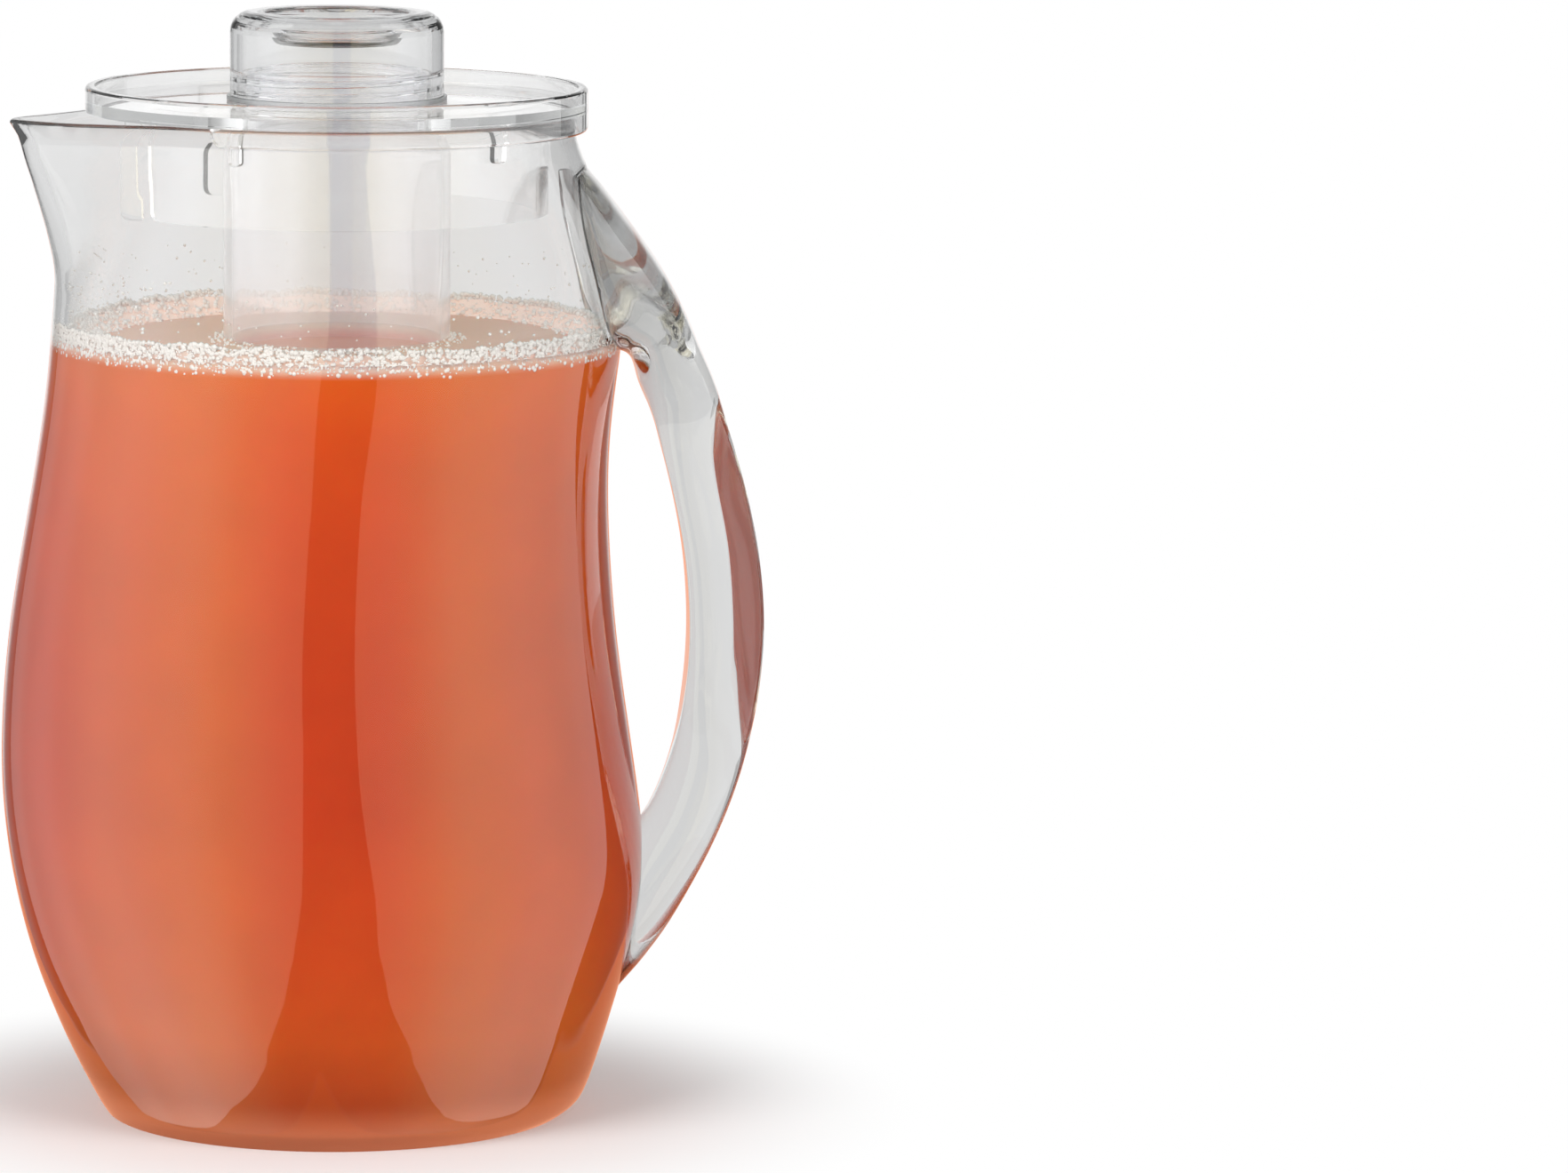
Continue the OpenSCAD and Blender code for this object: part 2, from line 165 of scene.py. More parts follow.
def add_piece(name, mesh, body, material):
    """Puts a piece in the scene, riding on a body."""
    piece = bpy.data.objects.new(name, mesh)
    scene.collection.objects.link(piece)
    mesh.materials.append(material)
    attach(piece, body)
    return piece


def colour(code):
    """An sRGB hex colour as linear RGBA."""
    parts = [int(code[i:i + 2], 16) / 255 for i in (1, 3, 5)]
    return (*(p / 12.92 if p <= 0.04045 else ((p + 0.055) / 1.055) ** 2.4 for p in parts), 1.0)


def node(tree, kind, settings=None, stops=(), blend="LINEAR", **inputs):
    """Adds a node: its properties, a ramp's stops and how they blend, and its inputs as values or links.

    An input goes by its socket's name, with _ for a space, or by its number after an i."""
    made = tree.nodes.new(kind)
    for key, value in (settings or {}).items():
        setattr(made, key, value)
    for k, (at, shade) in enumerate(stops):
        stop = made.color_ramp.elements[k] if k < 2 else made.color_ramp.elements.new(at)
        stop.position, stop.color = at, shade
        made.color_ramp.interpolation = blend
    for key, value in inputs.items():
        by_number = key[0] == "i" and key[1:].isdigit()
        socket = made.inputs[int(key[1:]) if by_number else key.replace("_", " ")]
        if isinstance(value, bpy.types.NodeSocket):
            tree.links.new(value, socket)
        else:
            socket.default_value = value
    return made


def new_material(name):
    """An empty node material, its tree and its output."""
    material = bpy.data.materials.new(name)
    material.use_nodes = True
    material.node_tree.nodes.clear()
    return material, material.node_tree, material.node_tree.nodes.new("ShaderNodeOutputMaterial")


def clear_plastic(name, ior, rough, tint, depth_tint, depth_per_m, shadow, clearness=1.0):
    """A clear plastic: it bends light, darkens with depth and lets the lamps through to what is inside."""
    material, tree, out = new_material(name)
    shine = node(tree, "ShaderNodeBsdfPrincipled", Base_Color=colour(tint), Roughness=rough, IOR=ior,
                 Transmission_Weight=clearness)
    bare = node(tree, "ShaderNodeBsdfTransparent", Color=colour(shadow))
    path = node(tree, "ShaderNodeLightPath")
    lit = node(tree, "ShaderNodeMixShader", i0=path.outputs["Is Shadow Ray"], i1=shine.outputs[0],
               i2=bare.outputs[0])
    soft = node(tree, "ShaderNodeMixShader", i0=path.outputs["Is Diffuse Ray"], i1=lit.outputs[0],
                i2=bare.outputs[0])
    tree.links.new(soft.outputs[0], out.inputs["Surface"])
    depth = node(tree, "ShaderNodeVolumeAbsorption", Color=colour(depth_tint), Density=depth_per_m)
    tree.links.new(depth.outputs[0], out.inputs["Volume"])
    return material


# Acrylic, moulded and polished: crystal clear face on, with grey-green edges where light passes through
# more of it
ACRYLIC_IOR, ACRYLIC_DEPTH_TINT, ACRYLIC_SHADOW = 1.49, "#5C6462", "#F0F3F2"
acrylic_polished = clear_plastic("acrylic_polished", ACRYLIC_IOR, 0.0, "#FFFFFF", ACRYLIC_DEPTH_TINT, 22.0,
                                 ACRYLIC_SHADOW)

# Rows of points up the foot and up the wall, and steps round the floor's fillet and the rim's outer edge
FOOT_ROWS, WALL_ROWS, FILLET_STEPS, ROUND_STEPS = 10, 120, 8, 5
floor_z = FOOT_H + FLOOR
wall_z = [*np.linspace(0, FILLET, FOOT_ROWS), *np.linspace(FILLET + 2, BODY_H - BEVEL_H, WALL_ROWS)]
fillet_turns = [math.radians(90 * k / FILLET_STEPS) for k in range(FILLET_STEPS + 1)]
rings = [wall_ring(FOOT_H, FOOT_W + FOOT_H, 0), wall_ring(0, FOOT_W, 0)]
rings += [wall_ring(z, 0) for z in wall_z]
for a in (math.radians(90 * k / ROUND_STEPS) for k in range(ROUND_STEPS + 1)):
    rings.append(wall_ring(BODY_H - RIM_ROUND * (1 - math.sin(a)), RIM_ROUND * (1 - math.cos(a)), BODY_H))
for down in (0, 0.1, 0.25):
    rings.append(wall_ring(BODY_H - BEVEL_H * down, WALL - BEVEL_T * (1 - down), BODY_H))
rings += [wall_ring(z, WALL) for z in reversed(wall_z) if z > floor_z + FILLET]
rings += [wall_ring(floor_z + FILLET * (1 - math.sin(a)), WALL + FILLET * (1 - math.cos(a)))
          for a in fillet_turns]
vessel = add_piece("vessel_shell", loft_mesh("vessel_shell", rings), "vessel", acrylic_polished)
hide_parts("jug_body")


# The handle: a solid loop of the same clear acrylic, bonded to the neck by a long saddle and to the
# belly by a tapered foot. It is polished all over, so it works as a thick lens.

HANDLE_REACH, HANDLE_T, HANDLE_W, SQUARENESS = 107.5, 19.2, 23.0, 0.8
# By station from the neck down: reach and height of the outer line, direction to the inner line in degrees,
# thickness, width, and how far the section is a keystone
HANDLE = [
    (0.572, 0.948, 213, 0.30, 1.60, 0), (0.619, 0.925, 243, 1.10, 2.50, 0),
    (0.708, 0.875, 237, 1.34, 2.56, 0), (0.762, 0.840, 234, 1.14, 2.28, 0),
    (0.807, 0.804, 219, 0.92, 1.88, 0), (0.843, 0.768, 211, 0.92, 1.56, 0.05),
    (0.878, 0.733, 202, 0.91, 1.34, 0.2), (0.905, 0.697, 194, 0.91, 1.22, 0.6),
    (0.954, 0.625, 182, 0.96, 1.17, 1), (0.988, 0.554, 178.5, 0.99, 1.15, 1),
    (1.000, 0.482, 177, 1, 1.15, 1), (0.986, 0.411, 172, 0.99, 1.12, 0.75),
    (0.948, 0.339, 161, 0.97, 1.05, 0.2), (0.884, 0.268, 149, 0.985, 1, 0),
    (0.794, 0.196, 137, 1.09, 1, 0), (0.726, 0.154, 141, 0.94, 0.92, 0),
    (0.665, 0.123, 146, 0.47, 0.66, 0),
]
HANDLE_ROWS = [(i, *row) for i, row in enumerate(HANDLE)]
# Half of the keystone section: depth from the outer edge and half width, as shares
KEYSTONE = [(0, 0), (0.05, 0.19), (0.16, 0.35), (0.30, 0.54), (0.45, 0.72), (0.60, 0.885), (0.72, 0.985),
            (0.87, 1.02), (0.97, 0.96), (1.0, 0.84), (1.0, 0)]
KEYSTONE_ROWS = [(i, *row) for i, row in enumerate(KEYSTONE)]


def squared(value):
    """A sine or cosine pushed outwards, which squares an oval's sides a little."""
    return np.sign(value) * np.abs(value) ** SQUARENESS


def bar_ring(s, points=80):
    """The bar's section at a station: a squared oval, turning to a keystone where the hand holds it."""
    _, x, z, way, thick, wide, keystone = smooth_rows(HANDLE_ROWS, s)
    half = []
    for u in np.linspace(0, len(KEYSTONE) - 1, points // 2 + 1):
        a = math.pi * u / (len(KEYSTONE) - 1)
        oval = np.array([(1 - squared(math.cos(a))) / 2, squared(math.sin(a))])
        half.append(oval * (1 - keystone) + smooth_rows(KEYSTONE_ROWS, u)[1:] * keystone)
    half = np.array(half)
    ring = np.concatenate([half, half[-2:0:-1] * (1, -1)])
    along, way = thick * HANDLE_T * ring[:, 0], math.radians(way)
    return np.stack([x * HANDLE_REACH + along * math.cos(way), wide * HANDLE_W / 2 * ring[:, 1],
                     z * BODY_H + along * math.sin(way)], 1)


def cut_away(mesh, cutter):
    """The first mesh without what lies in the second."""
    a, b = (bpy.data.objects.new("work", m) for m in (mesh, cutter))
    for work in (a, b):
        scene.collection.objects.link(work)
    cut = a.modifiers.new("cut", "BOOLEAN")
    cut.operation, cut.solver, cut.object = "DIFFERENCE", "EXACT", b
    bpy.context.view_layer.update()
    result = bpy.data.meshes.new_from_object(a.evaluated_get(bpy.context.evaluated_depsgraph_get()))
    for work in (a, b):
        bpy.data.objects.remove(work)
    return result


# The bar's ends reach into the wall by half its thickness, so that no gap shows where they are bonded
BOND, BAR_RINGS, CUT_RINGS, CUT_LOW, CUT_HIGH = WALL / 2, 129, 70, 2, BODY_H - 6
bar = loft_mesh("bar", [bar_ring(s) for s in np.linspace(0, len(HANDLE) - 1, BAR_RINGS)])
cut_z = np.linspace(CUT_LOW, CUT_HIGH, CUT_RINGS)
inside = loft_mesh("inside", [wall_ring(z, BOND, points=128) for z in cut_z])
bar = finish_mesh(cut_away(bar, inside))
bar.name = "handle_bar"
# The same acrylic with a weaker tint, as the bar is five times as thick as the wall and still looks clear
acrylic_bar = clear_plastic("acrylic_bar", ACRYLIC_IOR, 0.0, "#FFFFFF", ACRYLIC_DEPTH_TINT, 9.0,
                            ACRYLIC_SHADOW)
handle = add_piece("handle_bar", bar, "vessel", acrylic_bar)
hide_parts("handle")


# The drink: red-orange juice, cloudy with pulp, poured in to the level shown. It is one solid body with a
# dimple round the core, which stands inside it, and it reaches a little into the wall so that no air shows.

LEVEL, WET, CORE_R, DIMPLE = 195.0, 0.3, 28.2, 2.5
# Height as a share of the level, with painted light and shade: darker and browner near the base, deep red in
# the middle, lighter near the top, pale where foam lies on it
JUICE_UP = [(0.0, "#B84C20"), (0.08, "#C44C18"), (0.15, "#DC5818"), (0.25, "#DC5018"), (0.45, "#D04218"),
            (0.6, "#D04318"), (0.8, "#D84917"), (0.92, "#E05215"), (0.99, "#E45E16"), (1.0, "#FBCDB9")]
# Distance to the side as a share of the belly's half width: painted light that turns the juice more orange
# beside the core, which light passes
JUICE_OUT = [(0.1, 0.0), (0.42, 0.3), (0.66, 0.24), (0.9, 0.04)]


def grey(level):
    """A grey of the given level, as linear RGBA."""
    return (level, level, level, 1.0)


# Pulpy juice: light sinks in and scatters, so it is soft and warm, with hardly a shine behind the wall
juice, tree, out = new_material("juice_cloudy")
place = node(tree, "ShaderNodeTexCoord")
spot = node(tree, "ShaderNodeSeparateXYZ", Vector=place.outputs["Object"])
share = node(tree, "ShaderNodeMapRange", Value=spot.outputs["Z"], From_Min=0.0, From_Max=LEVEL * MM)
# Painted light and shade by height, and the pale foam at the top
painted_shade_and_foam_by_height = node(tree, "ShaderNodeValToRGB", stops=[(at, colour(code)) for at, code in JUICE_UP],
                 Fac=share.outputs[0])
# Painted light: towards the sides the juice is mixed with orange, by JUICE_OUT
offside = node(tree, "ShaderNodeMath", {"operation": "ABSOLUTE"}, i0=spot.outputs["X"])
flank = node(tree, "ShaderNodeMapRange", Value=offside.outputs[0], From_Min=0.0, From_Max=BELLY_R * MM)
painted_light_share = node(tree, "ShaderNodeValToRGB", stops=[(at, grey(level)) for at, level in JUICE_OUT], blend="EASE",
              Fac=flank.outputs[0])
warm = node(tree, "ShaderNodeMix", {"data_type": "RGBA"}, i0=painted_light_share.outputs["Color"],
            i6=painted_shade_and_foam_by_height.outputs["Color"], i7=colour("#E88C30"))
# Drifts of pulp, about 22 mm across
pulp = node(tree, "ShaderNodeTexNoise", Vector=place.outputs["Object"], Scale=45.0, Detail=4.0)
faint = node(tree, "ShaderNodeMapRange", Value=pulp.outputs[0], From_Min=0.3, From_Max=0.7,
             To_Min=0.95, To_Max=1.05)
tinted = node(tree, "ShaderNodeVectorMath", {"operation": "SCALE"}, i0=warm.outputs["Result"],
              Scale=faint.outputs[0])
# Painted light: the lowest juice is given a glow of its own, standing in for the light that comes up through
# the clear floor
painted_glow_low = node(tree, "ShaderNodeMapRange", {"interpolation_type": "SMOOTHSTEP"}, Value=spot.outputs["Z"],
              From_Min=0.002, From_Max=0.014, To_Min=0.75, To_Max=0.0)
drink_shine = node(tree, "ShaderNodeBsdfPrincipled", Base_Color=tinted.outputs[0], Roughness=0.4, IOR=1.34,
                   Specular_IOR_Level=0.05, Subsurface_Weight=0.6, Subsurface_Scale=0.02,
                   Subsurface_Radius=(1.0, 0.5, 0.25), Emission_Color=colour("#D07C58"),
                   Emission_Strength=painted_glow_low.outputs[0])
tree.links.new(drink_shine.outputs[0], out.inputs["Surface"])

inset, bottom = WALL - WET, floor_z - WET
rings = [wall_ring(bottom + (FILLET + WET) * (1 - math.sin(a)), inset + FILLET * (1 - math.cos(a)))
         for a in reversed(fillet_turns)]
rings += [wall_ring(z, inset) for z in wall_z if floor_z + FILLET < z < LEVEL - 1]
# The surface creeps up the wall and the core a little, and is flat between them
rings.append(wall_ring(LEVEL + 1.2, inset))
rings.append(wall_ring(LEVEL + 0.4, inset + 1.2, LEVEL))
edge = wall_ring(LEVEL, inset + 3, LEVEL)
rings.append(edge)
turn = np.arctan2(edge[:, 1], edge[:, 0])


def core_ring(r, z):
    """A ring round the core's axis, whose points face those of the drink's edge."""
    return np.stack([r * np.cos(turn), r * np.sin(turn), np.full(len(turn), z)], 1)


for t in (0.2, 0.4, 0.6, 0.8):
    rings.append(edge * (1 - t) + core_ring(CORE_R + 3, LEVEL) * t)
rings += [core_ring(CORE_R + 3, LEVEL), core_ring(CORE_R + 0.9, LEVEL + 0.3), core_ring(CORE_R, LEVEL + 1.0),
          core_ring(CORE_R, LEVEL - DIMPLE)]
add_piece("juice", loft_mesh("juice", rings), "vessel", juice)


# The froth: small bubbles of juice that pouring leaves where the drink meets the wall and the core.
# They lie on a skin of wet foam, and droplets cling to the wall above them.

FOAM_BEADS, CORE_BEADS, DROPLETS, WALL_POINTS = 9000, 520, 330, 1024
# Distance from the wall and height over the drink of the foam's upper face
PILE = [(0.0, 4.9), (1.2, 4.5), (3.0, 3.3), (5.5, 1.7), (8.0, 0.6), (9.5, -0.3)]
FOAM_W = PILE[-1][0]

# Dry foam: thin skins of juice over air, nearly white, and each one glints
froth, tree, out = new_material("froth")
froth_shine = node(tree, "ShaderNodeBsdfPrincipled", Base_Color=colour("#FBF3EE"), Roughness=0.25)
tree.links.new(froth_shine.outputs[0], out.inputs["Surface"])
# Wet foam: a pale blush of the juice below, with a painted glow standing in for the light that scatters
# through it
wet_froth_painted_glow, tree, out = new_material("wet_froth_painted_glow")
wet_shine = node(tree, "ShaderNodeBsdfPrincipled", Base_Color=colour("#F8DCD0"), Roughness=0.4,
                 Emission_Color=colour("#FFD9C8"), Emission_Strength=0.22)
tree.links.new(wet_shine.outputs[0], out.inputs["Surface"])

rng = random.Random(7)
wall_line = wall_ring(LEVEL, inset, LEVEL, points=WALL_POINTS)
inwards = np.column_stack([-wall_line[:, :2] / np.hypot(wall_line[:, 0], wall_line[:, 1])[:, None],
                           np.zeros(WALL_POINTS)])
swell = np.interp(np.arange(WALL_POINTS), np.linspace(0, WALL_POINTS, 65),
                  [rng.uniform(0.8, 1.1) for _ in range(64)] + [0.95])


def foam_ring(back, up):
    """A ring of the foam's skin, at a distance from the wall and a height over the drink."""
    flat = wall_line[:, :2] + inwards[:, :2] * back
    return np.column_stack([flat, LEVEL + up * swell])[::4]


def beads(name, spots):
    """One mesh of small bubbles, each given by its centre and radius in millimetres."""
    ball = bmesh.new()
    bmesh.ops.create_icosphere(ball, subdivisions=1, radius=1.0)
    corner = np.array([v.co for v in ball.verts])
    sides = [[v.index for v in f.verts] for f in ball.faces]
    ball.free()
    points, faces = [], []
    for x, y, z, r in spots:
        first = len(points)
        points += [tuple(p) for p in (corner * r + (x, y, z)) * MM]
        faces += [tuple(first + i for i in f) for f in sides]
    mesh = bpy.data.meshes.new(name)
    mesh.from_pydata(points, [], faces)
    mesh.shade_smooth()
    return mesh


skin = [foam_ring(FOAM_W, -0.8), foam_ring(1.3, -0.8), foam_ring(1.3, 3.6)]
skin += [foam_ring(back, up - 0.5) for back, up in PILE[2:]]
add_piece("froth_pad", loft_mesh("froth_pad", skin, loop=True), "vessel", wet_froth_painted_glow)

# A bead's random share says where it lies: up to the first it hangs below the drink's edge, up to the second
# it clings to the wall, and past that it lies on the foam
HANGING, CLINGING = 0.07, 0.70
HANG_DEPTH, CLING_HEIGHT, SPREAD = 2.0, 5.2, 9.8
spots = []
for _ in range(FOAM_BEADS):
    i = rng.randrange(WALL_POINTS)
    r = 0.3 + 0.55 * rng.random() ** 2
    kind = rng.random()
    if kind < HANGING:
        back, up = 0.1, -HANG_DEPTH * rng.random() ** 2
        r *= 0.8
    elif kind < CLINGING:
        back, up = r * 0.75, swell[i] * CLING_HEIGHT * rng.random()
    else:
        back = SPREAD * rng.random() ** 1.5
        up = swell[i] * float(np.interp(back, *zip(*PILE))) + r * 0.2
    x, y, _z = wall_line[i] + inwards[i] * back
    spots.append((x, y, LEVEL + up, r))
for _ in range(CORE_BEADS):
    a, r = 2 * math.pi * rng.random(), 0.2 + 0.35 * rng.random() ** 2
    out_r = CORE_R + 0.5 + 3.5 * rng.random() ** 2
    up = LEVEL + r * 0.5 + max(0.0, 1.2 - out_r + CORE_R)
    spots.append((out_r * math.cos(a), out_r * math.sin(a), up, r))
for _ in range(DROPLETS):
    z = LEVEL + 4.5 + 15 * rng.random() ** 2.2
    p = wall_ring(z, WALL, points=512)[rng.randrange(512)]
    way = np.array([-p[0], -p[1], 0]) / math.hypot(p[0], p[1])
    r = 0.2 + 0.3 * rng.random() ** 2
    spots.append((*(p + way * r * 0.6), r))
add_piece("froth_ring", beads("froth_ring", spots), "vessel", froth)


# The lid and the knob: clear acrylic, injection moulded, shown with the shapes of the CAD model. The lid
# drops into the rim, and the knob is screwed on the tube's neck and clamps it.

# Moulded acrylic, clearer in the lid, whose plate is seen along its whole width, and cooler and greyer in
# the knob's thick wall
MOULDED_IOR, MOULDED_DEPTH_TINT, MOULDED_SHADOW = 1.5, "#566268", "#F1F4F5"
acrylic_lid = clear_plastic("acrylic_lid", MOULDED_IOR, 0.0, "#FFFFFF", MOULDED_DEPTH_TINT, 6.0,
                            MOULDED_SHADOW)
acrylic_knob = clear_plastic("acrylic_knob", MOULDED_IOR, 0.0, "#FFFFFF", MOULDED_DEPTH_TINT, 36.0,
                             MOULDED_SHADOW)


def show_as(name, finish):
    """Gives a piece of the CAD model its finish, with smooth round faces and crisp edges."""
    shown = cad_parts[name].data
    shown.materials.clear()
    shown.materials.append(finish)
    shown.shade_smooth()
    shown.set_sharp_from_angle(angle=CREASE)


show_as("lid", acrylic_lid)
show_as("knob", acrylic_knob)


# The ice tube: an extruded acrylic tube with a moulded end and neck, shown with the shape of the CAD model.
# Its shoulder lies under the lid's plate, and the knob on its neck clamps the plate from above.

# Extruded acrylic, slightly misted by the cold, with a painted whitish glow that is stronger towards its
# sides
acrylic_misted = clear_plastic("acrylic_misted", ACRYLIC_IOR, 0.02, "#F9F8FA", "#6A6460", 5.0, "#F7F4F1",
                               0.86)
tree = acrylic_misted.node_tree
place = node(tree, "ShaderNodeTexCoord")
spot = node(tree, "ShaderNodeSeparateXYZ", Vector=place.outputs["Object"])
offside = node(tree, "ShaderNodeMath", {"operation": "ABSOLUTE"}, i0=spot.outputs["X"])
# Painted light: the glow's strength, rising towards the tube's sides
painted_side_glow = node(tree, "ShaderNodeMapRange", {"interpolation_type": "SMOOTHSTEP"}, Value=offside.outputs[0],
             From_Min=0.003, From_Max=0.013, To_Min=0.018, To_Max=0.052)
misted = tree.nodes["Principled BSDF"]
misted.inputs["Emission Color"].default_value = colour("#F7F9FF")
tree.links.new(painted_side_glow.outputs[0], misted.inputs["Emission Strength"])
show_as("ice_tube", acrylic_misted)


# The knob's seal: a thin washer of translucent silicone, punched from sheet and pinched under the knob.

# Silicone rubber: milky, and satin where the sheet was pressed
silicone, tree, out = new_material("silicone_pressed")
washer_shine = node(tree, "ShaderNodeBsdfPrincipled", Base_Color=colour("#F2F3F3"), Roughness=0.3, IOR=1.41,
                    Transmission_Weight=0.85)
tree.links.new(washer_shine.outputs[0], out.inputs["Surface"])
show_as("knob_seal", silicone)


# The studio: a pale floor that keeps the shadow near the vessel and fades to white around it, and a white
# room whose walls are darker where the clear pieces bend or mirror them.

FLOOR_HALF, FADE_FROM, FADE_TO, FLOOR_THROUGH = 9.0, 0.075, 0.15, 0.8
floor_mesh = bpy.data.meshes.new("floor")
corners = [(-FLOOR_HALF, -FLOOR_HALF, 0), (FLOOR_HALF, -FLOOR_HALF, 0), (FLOOR_HALF, FLOOR_HALF, 0),
           (-FLOOR_HALF, FLOOR_HALF, 0)]
floor_mesh.from_pydata(corners, [], [(0, 1, 2, 3)])
floor = bpy.data.objects.new("floor", floor_mesh)
scene.collection.objects.link(floor)
paper, tree, out = new_material("paper_white")
matt = node(tree, "ShaderNodeBsdfDiffuse", Color=colour("#FAFAFA"))
path = node(tree, "ShaderNodeLightPath")
dimmed = node(tree, "ShaderNodeMapRange", Value=path.outputs["Is Transmission Ray"], To_Min=1.0,
              To_Max=FLOOR_THROUGH)
white = node(tree, "ShaderNodeEmission", Color=grey(1.0), Strength=dimmed.outputs[0])
place = node(tree, "ShaderNodeTexCoord")
away = node(tree, "ShaderNodeVectorMath", {"operation": "LENGTH"}, i0=place.outputs["Object"])
far = node(tree, "ShaderNodeMapRange", {"interpolation_type": "SMOOTHSTEP"}, Value=away.outputs["Value"],
           From_Min=FADE_FROM, From_Max=FADE_TO)
fade = node(tree, "ShaderNodeMath", {"operation": "MULTIPLY"}, i0=far.outputs[0],
            i1=path.outputs["Is Camera Ray"])
fade = node(tree, "ShaderNodeMath", {"operation": "MAXIMUM"}, i0=fade.outputs[0],
            i1=path.outputs["Is Transmission Ray"])
mixed = node(tree, "ShaderNodeMixShader", i0=fade.outputs[0], i1=matt.outputs[0], i2=white.outputs[0])
tree.links.new(mixed.outputs[0], out.inputs["Surface"])
floor_mesh.materials.append(paper)
floor.visible_glossy = False

# Level of the room's light on the pieces, of what is seen through them at most, and of what they mirror,
# by the angle from straight behind in degrees
AMBIENT, THROUGH = 0.42, 0.74
MIRRORED = [(10, 1.0), (22, 0.25), (38, 0.08), (80, 0.08), (100, 0.35), (125, 0.4), (155, 0.2)]
world = bpy.data.worlds.new("studio")
scene.world = world
world.use_nodes = True
tree = world.node_tree
tree.nodes.clear()
path = node(tree, "ShaderNodeLightPath")
place = node(tree, "ShaderNodeTexCoord")
way = node(tree, "ShaderNodeSeparateXYZ", Vector=place.outputs["Generated"])
across = node(tree, "ShaderNodeMath", {"operation": "ABSOLUTE"}, i0=way.outputs["X"])
turned = node(tree, "ShaderNodeMath", {"operation": "ARCTAN2"}, i0=across.outputs[0], i1=way.outputs["Y"])
share = node(tree, "ShaderNodeMath", {"operation": "DIVIDE"}, i0=turned.outputs[0], i1=math.pi)
around = node(tree, "ShaderNodeValToRGB", stops=[(degrees / 180, grey(level)) for degrees, level in MIRRORED],
              blend="EASE", Fac=share.outputs[0])
# Behind the vessel the table glows with light that has come through the juice, out to its two side edges and
# back from the vessel's shadow. Places on it are given as shares of the depth that a ray looks down
TABLE_LEFT, TABLE_RIGHT, TABLE_SOFT, TABLE_GLOW = -1.22, 1.58, 0.04, 0.9
# The shadow's two slanting edges: slope and place
LEFT_SLOPE, LEFT_EDGE, RIGHT_SLOPE, RIGHT_EDGE = 1.56, -0.955, -0.966, -0.68
depth = node(tree, "ShaderNodeMath", {"operation": "MULTIPLY"}, i0=way.outputs["Z"], i1=-1.0)
depth = node(tree, "ShaderNodeMath", {"operation": "MAXIMUM"}, i0=depth.outputs[0], i1=0.05)
aside = node(tree, "ShaderNodeMath", {"operation": "DIVIDE"}, i0=way.outputs["X"], i1=depth.outputs[0])
back = node(tree, "ShaderNodeMath", {"operation": "DIVIDE"}, i0=way.outputs["Y"], i1=depth.outputs[0])
past_left = node(tree, "ShaderNodeMath", {"operation": "MULTIPLY_ADD"}, i0=aside.outputs[0], i1=LEFT_SLOPE,
                 i2=back.outputs[0])
past_right = node(tree, "ShaderNodeMath", {"operation": "MULTIPLY_ADD"}, i0=aside.outputs[0],
                  i1=RIGHT_SLOPE, i2=back.outputs[0])
table = node(tree, "ShaderNodeMapRange", {"interpolation_type": "SMOOTHSTEP"}, Value=way.outputs["Z"],
             From_Min=-0.05, From_Max=-0.15, To_Min=0.0, To_Max=TABLE_GLOW)
for line, outer, inner in ((aside, TABLE_LEFT - TABLE_SOFT, TABLE_LEFT + TABLE_SOFT),
                           (aside, TABLE_RIGHT + TABLE_SOFT, TABLE_RIGHT - TABLE_SOFT),
                           (past_left, LEFT_EDGE - TABLE_SOFT, LEFT_EDGE + TABLE_SOFT),
                           (past_right, RIGHT_EDGE - TABLE_SOFT, RIGHT_EDGE + TABLE_SOFT)):
    within = node(tree, "ShaderNodeMapRange", {"interpolation_type": "SMOOTHSTEP"}, Value=line.outputs[0],
                  From_Min=outer, From_Max=inner, To_Min=0.0, To_Max=1.0)
    table = node(tree, "ShaderNodeMath", {"operation": "MULTIPLY"}, i0=table.outputs[0], i1=within.outputs[0])
mirrored = node(tree, "ShaderNodeMath", {"operation": "MAXIMUM"}, i0=around.outputs["Color"],
                i1=table.outputs[0])
bent = node(tree, "ShaderNodeMapRange", {"interpolation_type": "SMOOTHSTEP"}, Value=way.outputs["Y"],
            From_Min=0.20, From_Max=0.75, To_Min=0.12, To_Max=THROUGH)
above = node(tree, "ShaderNodeMapRange", {"interpolation_type": "SMOOTHSTEP"}, Value=way.outputs["Z"],
             From_Min=0.45, From_Max=0.80, To_Min=0.0, To_Max=0.85)
bent = node(tree, "ShaderNodeMath", {"operation": "MAXIMUM"}, i0=bent.outputs[0], i1=above.outputs[0])
level = node(tree, "ShaderNodeMix", {"data_type": "FLOAT"}, i0=path.outputs["Is Glossy Ray"], i2=AMBIENT,
             i3=mirrored.outputs[0])
level = node(tree, "ShaderNodeMix", {"data_type": "FLOAT"}, i0=path.outputs["Is Transmission Ray"],
             i2=level.outputs[0], i3=bent.outputs[0])
level = node(tree, "ShaderNodeMath", {"operation": "MAXIMUM"}, i0=path.outputs["Is Camera Ray"],
             i1=level.outputs[0])
# Only mirrored light takes the table's warm colour
seen = node(tree, "ShaderNodeMath", {"operation": "MULTIPLY"}, i0=table.outputs[0],
            i1=path.outputs["Is Glossy Ray"])
seen = node(tree, "ShaderNodeMix", {"data_type": "FLOAT"}, i0=path.outputs["Is Transmission Ray"],
            i2=seen.outputs[0], i3=0.0)
tint = node(tree, "ShaderNodeMix", {"data_type": "RGBA"}, i0=seen.outputs[0], i6=grey(1.0),
            i7=colour("#FFA070"))
sky = node(tree, "ShaderNodeBackground", Color=tint.outputs["Result"], Strength=level.outputs[0])
node(tree, "ShaderNodeOutputWorld", Surface=sky.outputs[0])


# The lamps: a large soft one on each side, higher than the camera and nearer to the pitcher, with the left
# one stronger. Reflections show curved cloth screens instead, which stand just behind the lamps.

